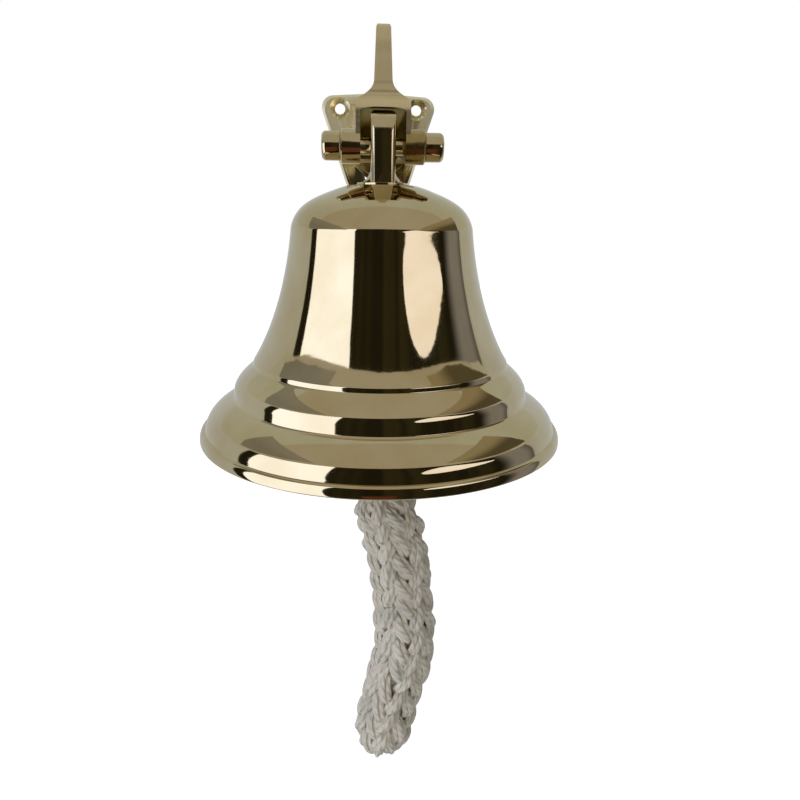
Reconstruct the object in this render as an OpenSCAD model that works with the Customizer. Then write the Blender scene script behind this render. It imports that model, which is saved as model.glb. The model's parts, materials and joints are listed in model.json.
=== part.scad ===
// Wall-hung ship's bell with a lanyard, in millimetres.
// The wall is the plane y = 0, the bell hangs in front of it towards -Y, and +Z is up.
// The origin is on the back of the wall plate, midway between its two upper screw holes.

/* [Wall plate] */
// Thickness of the wall plate
plate_t = 5; // [4:0.5:8]
// Diameter of the circle through the middles of the three screw holes
screw_circle = 44.1; // [42:0.1:48]
// Diameter of each screw hole
screw_d = 5.2; // [4:0.2:6]
// Diameter of each countersink at the plate's front face
sink_d = 10; // [8:0.5:11]
// Radius of the two upper corners of the plate
corner_r = 5.8; // [5:0.2:7]
// Radius of the rounded foot of the plate
foot_r = 17.5; // [14:0.5:20]
// Width of the bevel round the plate's front edge
plate_bevel = 1.4; // [0.6:0.2:2]

/* [Arm and yoke] */
// Distance from the wall to the pivot
reach = 90; // [86:1:110]
// Height from the upper screw holes down to the pivot
pivot_drop = 23.5; // [21:0.5:27]
// Width of the slot between the yoke's cheeks
slot_w = 17.6; // [16:0.2:22]
// Thickness of each cheek at the front
cheek_t = 1.8; // [1.4:0.1:4]
// Thickness of the roof over the slot
roof_t = 3.8; // [3:0.2:6]
// Width of the arm where it meets the plate
root_w = 27; // [24:1:34]
// Depth of the solid root of the arm, in front of the plate
root_t = 12; // [6:1:24]
// Distance from the pivot forward to the front edge of the cheeks
yoke_front = 5; // [4:0.5:8]
// Diameter of the pivot bosses
boss_d = 13.2; // [11:0.2:16]
// Length of each pivot boss, measured from the slot
boss_len = 7.6; // [5:0.2:10]
// Height of the horn above the roof
horn_h = 26.3; // [16:0.1:40]
// Width of the horn at its tip
horn_w = 5.6; // [4:0.2:7]
// Depth of the horn at its tip, front to back
horn_t = 5; // [4:0.2:8]

/* [Pivot bolt] */
// Diameter of the pivot bolt
bolt_d = 6.4; // [5:0.2:8]
// Running clearance round the bolt, on the radius
bolt_clear = 0.08; // [0.04:0.01:0.1]
// Diameter of the bolt's barrel head and of its barrel nut
knob_d = 11; // [9:0.2:13]
// Length of the barrel head and of the barrel nut
knob_len = 7.4; // [5:0.2:12]

/* [Bell shell] */
// Diameter of the bell at its rim
rim_d = 152; // [148:1:158]
// Height of the bell from its rim to its crown
bell_h = 102.2; // [98:0.2:108]
// Height of the lip band under the groove
lip_h = 4.6; // [3:0.2:6]
// Width of the flat end of the rim
rim_t = 3.6; // [2.6:0.2:5]
// Diameter of the lower step
lower_step_d = 123.2; // [120:0.2:127]
// Height of the lower step above the rim
lower_step_z = 17; // [16:0.1:19]
// Height of the lower step's riser
lower_riser = 6.3; // [5:0.1:7.5]
// Diameter of the upper step
upper_step_d = 106.6; // [104:0.2:110]
// Height of the upper step above the rim
upper_step_z = 30.4; // [29.5:0.1:32.5]
// Height of the upper step's riser
upper_riser = 2; // [1:0.1:3]
// Diameter of the waist under the shoulder
shoulder_d = 74; // [70:0.5:78]
// Height of the foot of the shoulder above the rim
shoulder_z = 83; // [80:0.5:86]
// Thickness of the waist wall
wall = 3.6; // [2.6:0.1:4.4]
// Thickness of the crown
crown_t = 5; // [4:0.2:7]

/* [Crown lug] */
// Thickness of the lug at its top
lug_t = 8.4; // [8:0.2:11]
// Thickness of the lug at its foot
lug_foot_t = 10.6; // [9.4:0.2:12]
// Depth of the lug, front to back
lug_depth = 19; // [17:0.5:21]
// Gap between the top of the lug and the slot's ceiling
lug_gap = 0.6; // [0.4:0.1:1.5]
// Height from the crown up to the pivot
lug_h = 14.3; // [13:0.1:16]
// Height from the pivot up to the top of the lug
lug_top = 13.4; // [12:0.1:15]
// Diameter of the flared foot of the lug
flare_d = 20; // [19:0.5:23]
// Diameter of the stud under the lug
stud_d = 8; // [6:0.5:9]

/* [Clapper] */
// Diameter of the washer under the crown
washer_d = 20; // [17:0.5:23]
// Thickness of the washer
washer_t = 1.8; // [1:0.1:3]
// Width of the eye nut across its flats
nut_w = 15; // [13:0.5:18]
// Height of the eye nut's hexagon
nut_h = 7; // [5:0.5:9]
// Diameter of the wire in the clapper's ring
ring_wire = 3.8; // [3:0.1:4.6]
// Radius of the clapper's ring at the middle of its wire
ring_r = 6; // [5.6:0.1:8]
// Diameter of the clapper rod
rod_d = 6; // [4:0.2:8]
// Distance from the clapper's pivot to the middle of its ball
clapper_len = 62; // [56:0.5:66]
// Diameter of the clapper ball
ball_d = 26; // [20:0.5:28]

/* [Lanyard] */
// Diameter of the lanyard
rope_d = 27; // [22:0.2:30]
// Diameter of the cord that ties the lanyard to the clapper
becket_d = 5; // [4:0.2:6]
// Radius of the becket's bend at the middle of the cord
becket_r = 5.5; // [5.2:0.1:8]
// Length of the becket's straight legs, down to the lanyard's neck
becket_leg = 3; // [2.6:0.2:8]

/* [Hidden] */

// Smoothness of true round surfaces
$fn = 64;
// Clearance between pieces that sit in or round each other on one body
fit = 0.05;
// Smallest gap left where one eye hangs in another
hang_gap = 0.35;
// Overshoot of a cut past the face that it opens
cut = 1;

// The part is drawn from the pivot, which lies in front of the wall and under the screw line
pivot = [0, -reach, -pivot_drop];

// Arm, in a frame whose origin is the pivot and whose wall is at y = reach
slot_top = lug_top + lug_gap;
roof_top = slot_top + roof_t;
roof_round = yoke_front;
yoke_half = slot_w/2 + cheek_t;
boss_end = slot_w/2 + boss_len;
plate_front = reach - plate_t;
plate_bevel_in = 1.6;
root_top_rise = 2.5;
arm_root_top = pivot_drop + root_top_rise;
arm_root_foot = -2.2;

// Shares of the nut's length that the shank reaches in, and that the nut is bored
shank_in_nut = 0.7;
bore_in_nut = 0.75;

// Screw holes, evenly spaced on their circle: two above and one below
screw_gap = screw_circle*sin(60);
screw_drop = screw_circle*0.75;
SCREWS = [[-screw_gap/2, 0], [screw_gap/2, 0], [0, -screw_drop]];

// Plate outline: the corners sit outside the upper screws, and the top edge rises between them
corner_x = screw_gap/2 + 3.2;
corner_z = 0.3;
plate_rise = 0.9;
rise_half = 8;
// The foot's middle lies a little above the lower screw
foot_above_screw = 4;
foot_z = -screw_drop + foot_above_screw;

// Heights in the bell, measured from the rim
rim_r = rim_d/2;
lower_r = lower_step_d/2;
upper_r = upper_step_d/2;
shoulder_r = shoulder_d/2;
crown_seat_r = flare_d/2 + 0.6;
crown_under = bell_h - crown_t;
pivot_h = bell_h + lug_h;
nut_top = crown_under - washer_t;

// Hanging eyes: a disc with a cross hole, and a ring or a becket that runs through it
eye_half = 2;
eye_hole_r = ring_wire/2 + 1.3;
eye_r = eye_hole_r + 3.8;
ring_sag = ring_r - sqrt(ring_r*ring_r - eye_half*eye_half);
eye_z = nut_top - nut_h - eye_r + 1;
clapper_z = eye_z - eye_hole_r + ring_wire/2 + hang_gap + ring_sag;

ball_z = clapper_z - clapper_len;
tail_hole_r = becket_d/2 + 1.1;
tail_r = tail_hole_r + 3.9;
becket_inner = becket_r - becket_d/2;
becket_sag = becket_inner - sqrt(becket_inner*becket_inner - eye_half*eye_half);
ball_gap = 0.5;
tail_z = ball_z - ball_d/2 - ball_gap - tail_r;
becket_z = tail_z - tail_hole_r + becket_d/2 + hang_gap + becket_sag;
rope_top = becket_z - becket_r - becket_leg;

// Route of the lanyard: x and z of each point, with z from the rim, below the becket's feet
ROUTE = [[0, -10], [0, -17], [0.2, -24], [0.9, -29.5], [1.4, -32], [1.8, -34], [2.4, -36.5],
         [4, -43], [6, -50], [8.5, -63], [10.5, -76], [12, -88], [12.5, -99], [12, -110],
         [10.2, -121], [7.8, -132], [5.2, -143], [2.8, -154], [1.9, -159], [1.5, -163],
         [1.5, -166.5], [1.6, -169], [1.7, -170.5]];
// Share of the full radius at each of those points: a slim whipped neck, and a rounded end
SWELL = [0.56, 0.56, 0.56, 0.57, 0.72, 0.88, 1, 1, 1, 1, 1, 1, 1, 1, 1, 1, 1, 1,
         0.93, 0.8, 0.63, 0.42, 0.18];
rope_sides = 12;

// Points on a cubic curve from a to d, pulled towards b and c
function curve(a, b, c, d, n) =
    [for (i = [0:n]) let (t = i/n, u = 1 - t)
        u*u*u*a + 3*u*u*t*b + 3*u*t*t*c + t*t*t*d];

// Points on an arc of radius r about c, from angle a1 to angle a2
function arc(c, r, a1, a2, n) =
    [for (i = [0:n]) let (a = a1 + (a2 - a1)*i/n) c + r*[cos(a), sin(a)]];

// Every point of a list but its first
function tail(p) = [for (i = [1:len(p) - 1]) p[i]];

// Draws a shape of y and z as a slab of width w across x, centred
module across(w) {
    rotate([90, 0, 90])
        translate([0, 0, -w/2])
            linear_extrude(w) children();
}

// Draws a shape of x and z as a slab that runs back from y1 to y2
module backwards(y1, y2) {
    translate([0, y2, 0])
        rotate([90, 0, 0])
            linear_extrude(y2 - y1) children();
}

// Side of the arm and the yoke: straight at the cheeks, then swept up and down into the plate
module arm_side() {
    roof_end = 18;
    top_edge = curve([roof_end, roof_top], [44, roof_top - 3.5], [66, roof_top - 1],
                     [plate_front + cut, arm_root_top], 12);
    foot_edge = curve([plate_front + cut, arm_root_foot], [62, 1.5], [34, -2],
                      [0, -boss_d/2 + 0.4], 10);
    front = arc([-yoke_front + roof_round, roof_top - roof_round], roof_round, 180, 90, 8);
    polygon(concat([[-yoke_front, 0]], front, top_edge, foot_edge));
}

// Plan of the arm: parallel at the cheeks, and flared to the plate
module arm_plan() {
    flare = curve([yoke_half, 16], [yoke_half, 44], [root_w/2 - 2, 60],
                  [root_w/2, plate_front + cut], 8);
    side = concat([[yoke_half, -yoke_front - cut]], flare);
    polygon(concat(side, [for (i = [len(side) - 1:-1:0]) [-side[i].x, side[i].y]]));
}

// Side of the horn: broad where it grows out of the roof, then drawn up to a slim round tip
module horn_side() {
    base = slot_top + 0.6;
    tip = roof_top + horn_h;
    lean = 3;
    foot = -yoke_front + 1.5;
    heel = 16;
    front = curve([foot, roof_top - 1.6], [foot + 1.4, roof_top + 0.6],
                  [lean - horn_t/2 - 1.8, roof_top + horn_h*0.45],
                  [lean - horn_t/2, tip - horn_t/2], 10);
    cap = arc([lean, tip - horn_t/2], horn_t/2, 180, 0, 10);
    back = curve([lean + horn_t/2, tip - horn_t/2], [lean + horn_t/2 - 2, roof_top + horn_h*0.4],
                 [lean + horn_t/2 + 1, roof_top + 3], [heel, roof_top - 0.6], 10);
    polygon(concat([[foot, base]], front, tail(cap), tail(back), [[heel, base]]));
}

// Front of the horn: a saddle as wide as the yoke that sweeps up into a tapering stem
module horn_front() {
    saddle = curve([yoke_half - 0.3, roof_top - 1.2], [yoke_half - 3, roof_top + 1.2],
                   [horn_w/2 + 1.4, roof_top + 1.8], [horn_w/2 + 0.7, roof_top + 6], 8);
    stem = [[horn_w/2, roof_top + horn_h - 1.2], [horn_w/2 - 1, roof_top + horn_h + 0.2]];
    half = concat([[yoke_half - 0.3, slot_top + 0.6]], saddle, stem);
    polygon(concat(half, [for (i = [len(half) - 1:-1:0]) [-half[i].x, half[i].y]]));
}

// Slot between the cheeks, with a low arch for its ceiling
module slot_front() {
    h = slot_w/2;
    foot = -boss_d;
    arch = curve([h, slot_top - 1.6], [h - 1, slot_top], [h - 4, slot_top], [0, slot_top], 6);
    polygon(concat([[h, foot]], arch, [for (i = [len(arch) - 2:-1:0]) [-arch[i].x, arch[i].y]],
                   [[-h, foot]]));
}

// Outline of the wall plate: two upper corners and a broad round foot
module plate_outline() {
    d = [corner_x, corner_z - foot_z];
    turn = atan2(d.y, d.x) - acos((foot_r - corner_r)/norm(d));
    right = arc([corner_x, corner_z], corner_r, turn, 90, 12);
    left = [for (i = [len(right) - 1:-1:0]) [-right[i].x, right[i].y]];
    foot = arc([0, foot_z], foot_r, 180 - turn, 360 + turn, 24);
    top = corner_z + corner_r + plate_rise;
    polygon(concat(right, [[rise_half, top], [-rise_half, top]], left, foot));
}

// One screw hole through the plate with its countersink, drilled from the front
module screw_hole() {
    sink = (sink_d - screw_d)/2;
    rotate([-90, 0, 0]) {
        cylinder(h = plate_t + 2*cut, d = screw_d, center = true);
        translate([0, 0, -plate_t/2 - cut])
            cylinder(h = cut, d = sink_d);
        translate([0, 0, -plate_t/2 - 0.001])
            cylinder(h = sink, d1 = sink_d, d2 = screw_d);
    }
}

// The wall plate, drawn about the upper screw line
module wall_plate() {
    // The bevel draws the outline in towards the middle of its height
    middle = (corner_z + corner_r + foot_z - foot_r)/2;
    width = 2*(corner_x + corner_r);
    difference() {
        union() {
            backwards(-plate_t + plate_bevel, 0) plate_outline();
            translate([0, -plate_t + plate_bevel, middle])
                rotate([90, 0, 0])
                    linear_extrude(plate_bevel, scale = 1 - 2*plate_bevel_in/width)
                        translate([0, -middle]) plate_outline();
        }
        for (p = SCREWS)
            translate([p.x, -plate_t/2, p.y]) screw_hole();
    }
}

// One casting: plate, channel arm, yoke with its two bosses, and the horn
module wall_bracket() {
    color("goldenrod") {
        wall_plate();
        translate(pivot) difference() {
            union() {
                intersection() {
                    across(2*root_w) arm_side();
                    translate([0, 0, -reach]) linear_extrude(2*reach) arm_plan();
                }
                intersection() {
                    across(2*root_w) horn_side();
                    backwards(-yoke_front, 2*yoke_front + 8) horn_front();
                }
                rotate([0, 90, 0]) cylinder(h = 2*boss_end, d = boss_d, center = true);
            }
            backwards(-boss_d, plate_front - root_t) slot_front();
            rotate([0, 90, 0])
                cylinder(h = 2*boss_end + 2*cut, r = bolt_d/2 + bolt_clear, center = true);
        }
    }
}

// Barrel with a rounded outer end, lying along +X from x = 0
module knob() {
    r = knob_d/2;
    round_r = 1.8;
    edge = 0.3;
    rotate([0, 90, 0]) rotate_extrude()
        polygon(concat([[0, 0], [r - edge, 0], [r, edge]],
                       arc([r - round_r, knob_len - round_r], round_r, 0, 90, 6),
                       [[0, knob_len]]));
}

// Pivot bolt: the barrel head lies against the left boss, and the shank reaches into the nut
module pivot_bolt() {
    color("gold") translate(pivot) {
        translate([-boss_end, 0, 0]) mirror([1, 0, 0]) knob();
        translate([-boss_end - cut, 0, 0])
            rotate([0, 90, 0]) cylinder(h = 2*boss_end + shank_in_nut*knob_len + cut, d = bolt_d);
    }
}

// Barrel nut against the right boss
module pivot_nut() {
    color("gold") translate(pivot) difference() {
        translate([boss_end, 0, 0]) knob();
        translate([boss_end - cut, 0, 0])
            rotate([0, 90, 0]) cylinder(h = bore_in_nut*knob_len + cut, d = bolt_d + 2*fit);
    }
}

// Moves to the rim plane of the bell, under the pivot
module from_rim() {
    translate(pivot - [0, 0, pivot_h]) children();
}

// Outer side of the bell, from the rim up: lip, groove, two steps, waist, shoulder and crown
function bell_outside() = concat(
    [[rim_r - 0.5, 0], [rim_r, 0.5]],
    curve([rim_r, 1.2], [rim_r, 2.8], [rim_r - 0.6, lip_h - 0.6], [rim_r - 1.4, lip_h - 0.1], 4),
    [[rim_r - 2.2, lip_h], [rim_r - 2.2, lip_h + 0.5]],
    curve([rim_r - 2.4, lip_h + 0.9], [rim_r - 3.8, lip_h + 7], [lower_r + 5.2, lower_step_z - 2.2],
          [lower_r + 0.3, lower_step_z], 9),
    [[lower_r - 0.2, lower_step_z + 0.6]],
    curve([lower_r - 0.4, lower_step_z + lower_riser*0.6],
          [lower_r - 0.9, lower_step_z + lower_riser*1.2],
          [upper_r + 3.4, upper_step_z - 2.6], [upper_r + 0.3, upper_step_z], 7),
    [[upper_r - 0.1, upper_step_z + 0.5]],
    curve([upper_r - 0.4, upper_step_z + upper_riser], [upper_r - 6.4, upper_step_z + 11.4],
          [shoulder_r + 3.6, shoulder_z - 23], [shoulder_r, shoulder_z], 12),
    tail(curve([shoulder_r, shoulder_z], [shoulder_r - 1.3, shoulder_z + 8.5],
          [shoulder_r - 5.2, bell_h - 7], [crown_seat_r + 11.4, bell_h - 3.2], 8)),
    tail(curve([crown_seat_r + 11.4, bell_h - 3.2], [crown_seat_r + 6, bell_h - 1.1],
          [crown_seat_r + 3, bell_h], [crown_seat_r, bell_h], 4)));

// Inner side of the bell, from the crown down: plain and smooth, thickest at the sound bow
function bell_inside() =
    let (seat = washer_d/2 + 1.4,
         shoulder_in = shoulder_r - wall,
         bow = [upper_r - wall - 3.2, upper_step_z + 4.6])
    concat(
        curve([seat, crown_under], [seat + 4, crown_under - 0.2],
              [seat + 7, crown_under - 1.2], [seat + 10, crown_under - 2.8], 4),
        tail(curve([seat + 10, crown_under - 2.8], [seat + 16, crown_under - 5.6],
              [shoulder_in - 1, shoulder_z + 5], [shoulder_in - 0.2, shoulder_z - 3], 7)),
        tail(curve([shoulder_in - 0.2, shoulder_z - 3], [shoulder_in + 3.6, shoulder_z - 22],
              bow + [-3.4, 8.4], bow, 10)),
        tail(curve(bow, bow + [5.4, -13], [rim_r - 11.6, 8], [rim_r - rim_t, 0.4], 8)),
        [[rim_r - rim_t + 0.5, 0]]);

// Cast bell, turned outside and inside, with a plain hole in the crown for the lug's stud
module bell_shell() {
    stud_hole_r = stud_d/2 + 0.2;
    color("gold") from_rim() rotate_extrude($fn = 96)
        polygon(concat(bell_outside(), [[stud_hole_r, bell_h], [stud_hole_r, crown_under]],
                       bell_inside()));
}

// Crown lug: a rounded eye on a flared foot, with the stud that goes down through the crown
module crown_lug() {
    eye = lug_depth/2;
    lug_round = 1.4;
    top_round = 2.4;
    flare_h = 5;
    stud_len = crown_t + washer_t + nut_h - 1;
    color("gold") translate(pivot) difference() {
        union() {
            intersection() {
                // Plan with rounded corners
                translate([0, 0, -lug_h]) linear_extrude(lug_h + lug_top + cut)
                    polygon([for (i = [0:3]) each arc(
                        [(i == 0 || i == 3 ? 1 : -1)*(lug_foot_t/2 - lug_round),
                         (i < 2 ? 1 : -1)*(lug_depth/2 - lug_round)],
                        lug_round, 90*i, 90*i + 90, 5)]);
                // Side with a half-round top
                across(lug_foot_t + cut) {
                    translate([0, lug_top - eye]) circle(r = eye);
                    translate([-eye, -lug_h]) square([2*eye, lug_h + lug_top - eye]);
                }
                // Front with a slight taper and rounded upper corners
                backwards(-lug_depth, lug_depth)
                    polygon(concat([[lug_foot_t/2, -lug_h]],
                        arc([lug_t/2 - top_round, lug_top - top_round], top_round, 0, 90, 6),
                        arc([-lug_t/2 + top_round, lug_top - top_round], top_round, 90, 180, 6),
                        [[-lug_foot_t/2, -lug_h]]));
            }
            // Flared foot
            translate([0, 0, -lug_h]) rotate_extrude()
                polygon(concat([[0, 0], [flare_d/2, 0]],
                    curve([flare_d/2, 0.7], [flare_d/2 - 2.6, 1], [lug_foot_t/2 + 0.6, 2],
                          [lug_foot_t/2 - 0.4, flare_h], 6), [[0, flare_h]]));
            translate([0, 0, -lug_h - stud_len]) cylinder(h = stud_len + cut, d = stud_d);
        }
        rotate([0, 90, 0])
            cylinder(h = 2*lug_foot_t, r = bolt_d/2 + bolt_clear, center = true);
    }
}

// Washer between the crown and the eye nut
module crown_washer() {
    color("darkgoldenrod") from_rim() translate([0, 0, nut_top]) difference() {
        cylinder(h = washer_t, d = washer_d);
        translate([0, 0, -cut]) cylinder(h = washer_t + 2*cut, r = stud_d/2 + 0.2);
    }
}

// Disc across x with a cross hole: the eye of the nut, and the eye under the ball
module eye(r, hole_r) {
    rotate([0, 90, 0]) difference() {
        cylinder(h = 2*eye_half, r = r, center = true);
        cylinder(h = 2*eye_half + 2*cut, r = hole_r, center = true);
    }
}

// Eye nut: screws onto the stud under the crown and carries the clapper
module eye_nut() {
    color("darkgoldenrod") from_rim() {
        difference() {
            translate([0, 0, nut_top - nut_h])
                cylinder(h = nut_h, d = nut_w/cos(30), $fn = 6);
            translate([0, 0, nut_top - nut_h + 0.6])
                cylinder(h = nut_h, r = stud_d/2 + fit);
        }
        translate([0, 0, eye_z]) eye(eye_r, eye_hole_r);
    }
}

// Clapper rod with its forged ring, which hangs in the eye nut
module clapper_rod() {
    color("darkgoldenrod") from_rim() translate([0, 0, clapper_z]) {
        translate([0, 0, -ring_r]) rotate([90, 0, 0])
            rotate_extrude() translate([ring_r, 0]) circle(d = ring_wire, $fn = 32);
        translate([0, 0, -clapper_len])
            cylinder(h = clapper_len - 2*ring_r, d = rod_d);
    }
}

// Clapper ball, drilled through for the rod above and the tail eye below
module clapper_ball() {
    color("gold") from_rim() translate([0, 0, ball_z]) difference() {
        sphere(d = ball_d);
        cylinder(h = ball_d + 2*cut, r = rod_d/2 + fit, center = true);
    }
}

// Tail eye: a shank up into the ball and an eye below it for the lanyard
module tail_eye() {
    color("darkgoldenrod") from_rim() {
        translate([0, 0, tail_z]) eye(tail_r, tail_hole_r);
        translate([0, 0, tail_z + tail_r - 0.8])
            cylinder(h = ball_z - tail_z - tail_r + 0.6, d = rod_d);
    }
}

// Becket: a bight of cord through the tail eye, with both feet on the lanyard's top
module rope_becket() {
    color("antiquewhite") from_rim() translate([0, 0, becket_z - becket_r]) {
        rotate([90, 0, 0])
            rotate_extrude(angle = 180) translate([becket_r, 0]) circle(d = becket_d, $fn = 32);
        for (x = [-becket_r, becket_r])
            translate([x, 0, -becket_leg]) cylinder(h = becket_leg, d = becket_d, $fn = 32);
    }
}

// Middle of the lanyard at each route point, hung from the becket's feet
function rope_point(i) = [ROUTE[i].x, 0, rope_top + ROUTE[i].y - ROUTE[0].y];

// Ring of points round route point i, square to the route there
function rope_ring(i) =
    let (a = rope_point(max(i - 1, 0)),
         b = rope_point(min(i + 1, len(ROUTE) - 1)),
         along = (b - a)/norm(b - a),
         side = [-along.z, 0, along.x],
         r = rope_d/2*SWELL[i])
    [for (k = [0:rope_sides - 1]) let (w = 360*k/rope_sides)
        rope_point(i) + r*cos(w)*side + r*sin(w)*[0, 1, 0]];

// Lanyard: one braided cord, as a plain tube along its route
module rope_lanyard() {
    n = len(ROUTE);
    m = rope_sides;
    points = [for (i = [0:n - 1]) each rope_ring(i)];
    sides = [for (i = [0:n - 2]) for (k = [0:m - 1]) let (j = (k + 1)%m)
        each [[i*m + k, (i + 1)*m + k, i*m + j], [i*m + j, (i + 1)*m + k, (i + 1)*m + j]]];
    top = [for (k = [0:m - 1]) k];
    foot = [for (k = [0:m - 1]) n*m - 1 - k];
    color("antiquewhite") from_rim() polyhedron(points, concat(sides, [top, foot]));
}

wall_bracket();
pivot_bolt();
pivot_nut();
bell_shell();
crown_lug();
crown_washer();
eye_nut();
clapper_rod();
clapper_ball();
tail_eye();
rope_becket();
rope_lanyard();
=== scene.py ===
"""Wall-hung ship's bell of polished brass, with its bracket, clapper and braided cotton lanyard.

Lengths are metres in the part's own frame: the wall is the plane y = 0, the bell hangs in
front of it towards -Y, and +Z is up. Drawn sizes are in millimetres and are scaled where used.
"""
import json
import math
import random

import bpy
from mathutils import Euler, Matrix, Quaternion, Vector


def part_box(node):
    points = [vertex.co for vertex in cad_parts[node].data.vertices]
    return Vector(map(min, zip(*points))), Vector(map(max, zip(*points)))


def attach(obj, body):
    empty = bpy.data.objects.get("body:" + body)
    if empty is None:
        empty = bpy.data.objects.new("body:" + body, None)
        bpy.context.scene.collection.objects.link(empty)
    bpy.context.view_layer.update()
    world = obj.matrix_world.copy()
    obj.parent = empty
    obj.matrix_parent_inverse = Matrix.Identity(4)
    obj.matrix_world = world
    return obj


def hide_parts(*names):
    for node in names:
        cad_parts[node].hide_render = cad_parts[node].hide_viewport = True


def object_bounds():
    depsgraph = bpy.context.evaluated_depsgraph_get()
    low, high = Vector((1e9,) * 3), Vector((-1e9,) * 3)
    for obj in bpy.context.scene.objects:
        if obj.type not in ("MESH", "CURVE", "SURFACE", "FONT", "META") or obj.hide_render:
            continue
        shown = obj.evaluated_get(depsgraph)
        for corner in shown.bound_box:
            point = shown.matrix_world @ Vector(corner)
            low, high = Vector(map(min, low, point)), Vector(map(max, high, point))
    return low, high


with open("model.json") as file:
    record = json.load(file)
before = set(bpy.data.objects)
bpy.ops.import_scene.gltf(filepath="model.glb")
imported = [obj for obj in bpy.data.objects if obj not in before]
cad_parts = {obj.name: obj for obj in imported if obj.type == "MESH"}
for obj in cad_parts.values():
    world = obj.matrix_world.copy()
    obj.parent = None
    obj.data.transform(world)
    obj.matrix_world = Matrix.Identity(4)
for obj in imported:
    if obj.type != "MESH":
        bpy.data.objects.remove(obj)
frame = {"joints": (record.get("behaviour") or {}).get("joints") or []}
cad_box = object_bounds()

# Wall bracket
# One casting of brass: a rounded plate with three countersunk holes, an open channel of an arm
# that ends in a yoke, two turned bosses for the pivot bolt, and a slim horn on top.
MM = 0.001
sideways, to_wall, upright = Vector((1, 0, 0)), Vector((0, 1, 0)), Vector((0, 0, 1))
joint_at = {joint["name"]: Vector(joint["pos_m"]) for joint in frame["joints"]}
pivot = joint_at["bell_swing"]
plate_thick = 5.0
plate_front = -pivot.y / MM - plate_thick
yoke_front = -5.0
yoke_half = 10.6
roof_top = 17.8
slot_half = 8.8
slot_top = 14.0
slot_end = plate_front - 12
boss_end = 16.4
boss_r = 6.6
bore_r = 3.28
# How far the blanks and the cuts reach from the pivot
blank_half = 30
plan_half = 60
past = 20
slot_from = -14


def arc(x, z, r, start, end, parts):
    """Points on an arc round (x, z), from one angle to another in degrees."""
    turns = [math.radians(start + (end - start) * i / parts) for i in range(parts + 1)]
    return [(x + r * math.cos(turn), z + r * math.sin(turn)) for turn in turns]


def bezier(a, b, c, d, parts):
    """Points of a curve from a to d, pulled towards b and c."""
    line = []
    for i in range(parts + 1):
        t = i / parts
        u = 1 - t
        line.append(tuple(u**3 * p + 3 * u * u * t * q + 3 * u * t * t * r + t**3 * s
                          for p, q, r, s in zip(a, b, c, d)))
    return line


def only(piece):
    """Leaves piece alone selected and active."""
    bpy.ops.object.select_all(action="DESELECT")
    piece.select_set(True)
    bpy.context.view_layer.objects.active = piece


def drawn(name, points):
    """A closed outline, drawn point by point. It is left open in edit mode, all selected."""
    bpy.ops.object.select_all(action="DESELECT")
    bpy.ops.mesh.primitive_plane_add(size=1 * MM, location=(0, 0, 0))
    piece = bpy.context.object
    piece.name = name
    bpy.ops.object.mode_set(mode="EDIT")
    bpy.ops.mesh.merge(type="CENTER")
    bpy.ops.transform.translate(value=points[0])
    for before, after in zip(points, points[1:] + points[:1]):
        bpy.ops.mesh.extrude_region_move(TRANSFORM_OT_translate={"value": after - before})
    bpy.ops.mesh.select_all(action="SELECT")
    bpy.ops.mesh.remove_doubles(threshold=0.001 * MM)
    return piece


def slab(name, outline, across, low, high, middle):
    """A flat outline in millimetres from middle, drawn out along an axis from low to high."""
    place = "xyz".index(across)
    corners = []
    for flat in outline:
        corner = list(flat)
        corner.insert(place, low)
        corners.append(middle + Vector(corner) * MM)
    piece = drawn(name, corners)
    bpy.ops.mesh.edge_face_add()
    way = Vector()
    way[place] = (high - low) * MM
    bpy.ops.mesh.extrude_region_move(TRANSFORM_OT_translate={"value": way})
    bpy.ops.mesh.select_all(action="SELECT")
    bpy.ops.mesh.normals_make_consistent(inside=False)
    bpy.ops.object.mode_set(mode="OBJECT")
    return piece


arm_side = [(yoke_front, 0)] + arc(0, roof_top + yoke_front, -yoke_front, 180, 90, 10)
arm_side += bezier((18, roof_top), (44, roof_top - 3.5), (66, roof_top - 1), (plate_front + 1, 26), 18)
arm_side += bezier((plate_front + 1, -2.2), (62, 1.5), (34, -2), (0, 0.4 - boss_r), 18)
bracket = slab("wall_bracket", arm_side, "x", -blank_half, blank_half, pivot)


def mirrored(half):
    """The half outline and its mirror image on the left."""
    return half + [(-x, z) for x, z in reversed(half) if x > 0.001]


def worked(piece, tool, operation):
    """Joins, cuts or trims a piece with another, which is used up."""
    only(piece)
    change = piece.modifiers.new("worked", "BOOLEAN")
    change.object = tool
    change.operation = operation
    change.solver = "EXACT"
    bpy.ops.object.modifier_apply(modifier=change.name)
    bpy.data.objects.remove(tool)


arm_plan = [(yoke_half, yoke_front - 1)]
arm_plan += bezier((yoke_half, 16), (yoke_half, 44), (11.5, 60), (13.5, plate_front + 1), 16)
arm_trim = slab("arm_plan", mirrored(arm_plan), "z", -plan_half, plan_half, pivot)
worked(bracket, arm_trim, "INTERSECT")

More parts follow.
